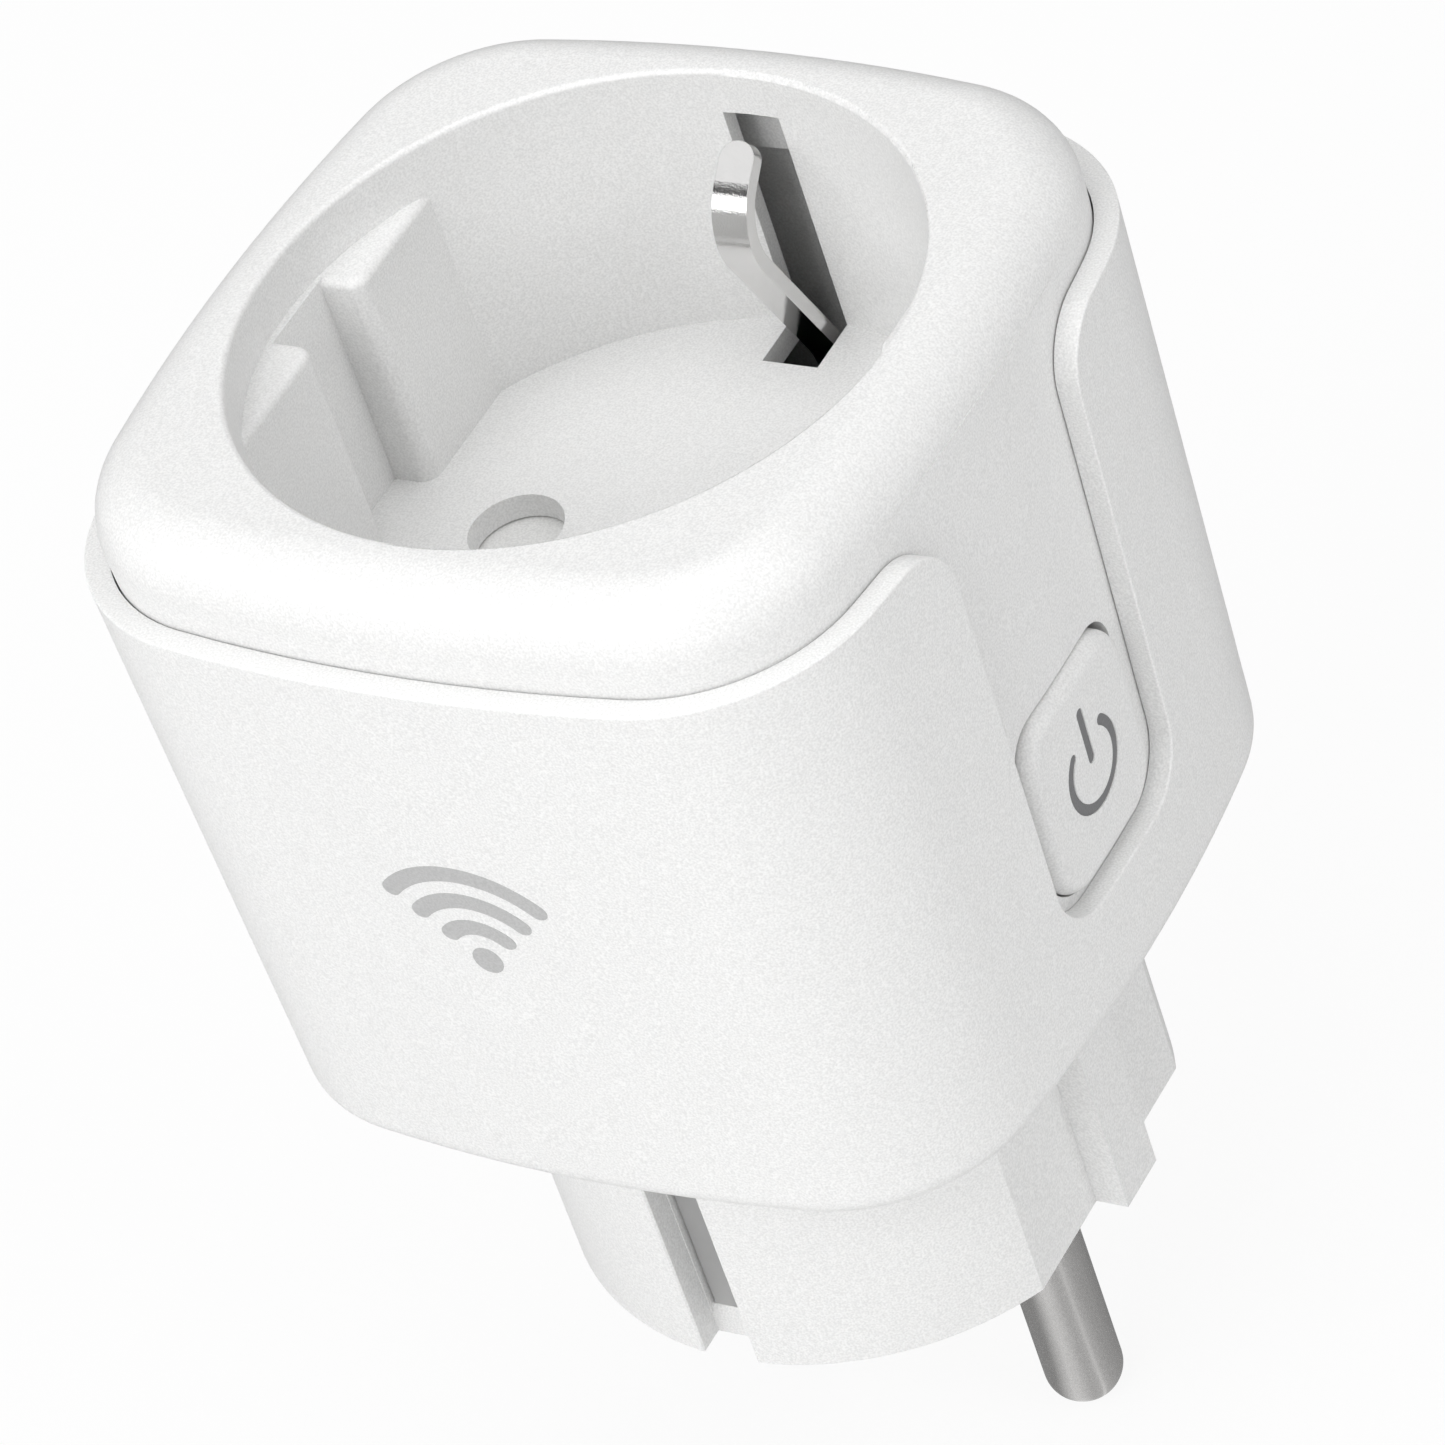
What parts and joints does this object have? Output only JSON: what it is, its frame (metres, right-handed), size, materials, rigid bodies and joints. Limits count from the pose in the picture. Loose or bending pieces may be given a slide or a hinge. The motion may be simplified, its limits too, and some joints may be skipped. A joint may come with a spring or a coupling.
{
  "type": "smart plug",
  "caption": "Mains plug adaptor with an earthed round socket on top, a side power button, a switching relay and radio electronics inside, and two round plug pins below.",
  "frame": {"origin": "on the socket axis, at the flat underside of the square body, where the boss starts", "axes": "+Z out of the socket along its axis, +X out of the side with the power button, plug pins towards -Z"},
  "size_m": [0.0501, 0.0504, 0.0835],
  "materials": {
    "white_body": "fine matte moulded plastic",
    "white_cap": "satin moulded plastic",
    "button_white": "satin moulded plastic",
    "guide_grey": "smoked translucent plastic",
    "shutter_white": "satin moulded plastic",
    "carrier_white": "glass-filled moulded plastic",
    "pin_nickel": "nickel-plated, satin",
    "bright_nickel": "bright nickel-plated spring steel",
    "strap_nickel": "nickel-plated strip",
    "contact_copper": "copper alloy strip",
    "screw_steel": "zinc-plated steel",
    "spring_steel": "music wire",
    "wire_insulation": "green insulation with yellow stripe",
    "board_green": "solder-masked laminate",
    "switch_black": "moulded plastic",
    "lamp_clear": "clear epoxy on a white body",
    "can_steel": "tinned steel",
    "relay_black": "moulded plastic",
    "copper_winding": "enamelled copper wire",
    "iron": "soft iron",
    "ferrite": "sintered ferrite",
    "tape_yellow": "polyester tape",
    "can_black": "sleeved aluminium can",
    "film_blue": "epoxy-filled box",
    "varistor_blue": "epoxy coating",
    "resistor_green": "ceramic coating",
    "shunt_alloy": "resistance alloy"
  },
  "bodies": {
    "casing": {"outer_shell": "white_body", "socket_housing": "white_cap", "plug_base": "white_body", "live_pin": "pin_nickel", "neutral_pin": "pin_nickel", "housing_screws": "screw_steel", "earth_strap_front": "strap_nickel", "earth_strap_rear": "strap_nickel", "earth_rivets": "screw_steel", "earth_wire": "wire_insulation", "live_contact": "contact_copper", "neutral_contact": "contact_copper", "live_busbar": "contact_copper", "contact_carrier": "carrier_white", "carrier_screw": "screw_steel", "shutter_spring": "spring_steel", "main_board": "board_green", "button_board": "board_green", "switch_body": "switch_black", "status_led": "lamp_clear", "wifi_board": "board_green", "wifi_shield": "can_steel", "relay_base": "relay_black", "relay_coil": "copper_winding", "relay_yoke": "iron", "relay_cover": "relay_black", "transformer_core": "ferrite", "transformer_winding": "tape_yellow", "electrolytic_capacitors": "can_black", "film_capacitor": "film_blue", "varistor": "varistor_blue", "fuse_resistor": "resistor_green", "current_shunt": "shunt_alloy"},
    "button": {"power_button": "button_white", "light_guide": "guide_grey"},
    "switch_stem": {"switch_plunger": "switch_black"},
    "shutter": {"shutter": "shutter_white"},
    "front_clip": {"earth_clip_front": "bright_nickel"},
    "rear_clip": {"earth_clip_rear": "bright_nickel"},
    "relay_flap": {"relay_armature": "iron"}
  },
  "joints": [
    {"name": "button_press", "type": "slide", "parent": "casing", "child": "button", "axis": [-1, 0, 0], "range_m": [0, 0.0005], "stiffness_N_per_m": 1500},
    {"name": "switch_press", "type": "slide", "parent": "casing", "child": "switch_stem", "axis": [-1, 0, 0], "range_m": [0, 0.0005]},
    {"name": "shutter_turn", "type": "hinge", "parent": "casing", "child": "shutter", "pos_m": [0, 0, 0.0235], "axis": [0, 0, -1], "range_deg": [0, 42], "stiffness_Nm_per_rad": 0.004},
    {"name": "front_clip_flex", "type": "hinge", "parent": "casing", "child": "front_clip", "pos_m": [0, -0.0199, 0.0145], "axis": [1, 0, 0], "range_deg": [0, 4.5], "stiffness_Nm_per_rad": 2},
    {"name": "rear_clip_flex", "type": "hinge", "parent": "casing", "child": "rear_clip", "pos_m": [0, 0.0199, 0.0145], "axis": [-1, 0, 0], "range_deg": [0, 4.5], "stiffness_Nm_per_rad": 2},
    {"name": "relay_close", "type": "hinge", "parent": "casing", "child": "relay_flap", "pos_m": [-0.00945, -0.012, 0.0171], "axis": [0, -1, 0], "range_deg": [0, 5], "stiffness_Nm_per_rad": 0.01}
  ],
  "couplings": [
    {"joint": "switch_press", "follows": "button_press", "ratio": 1}
  ]
}
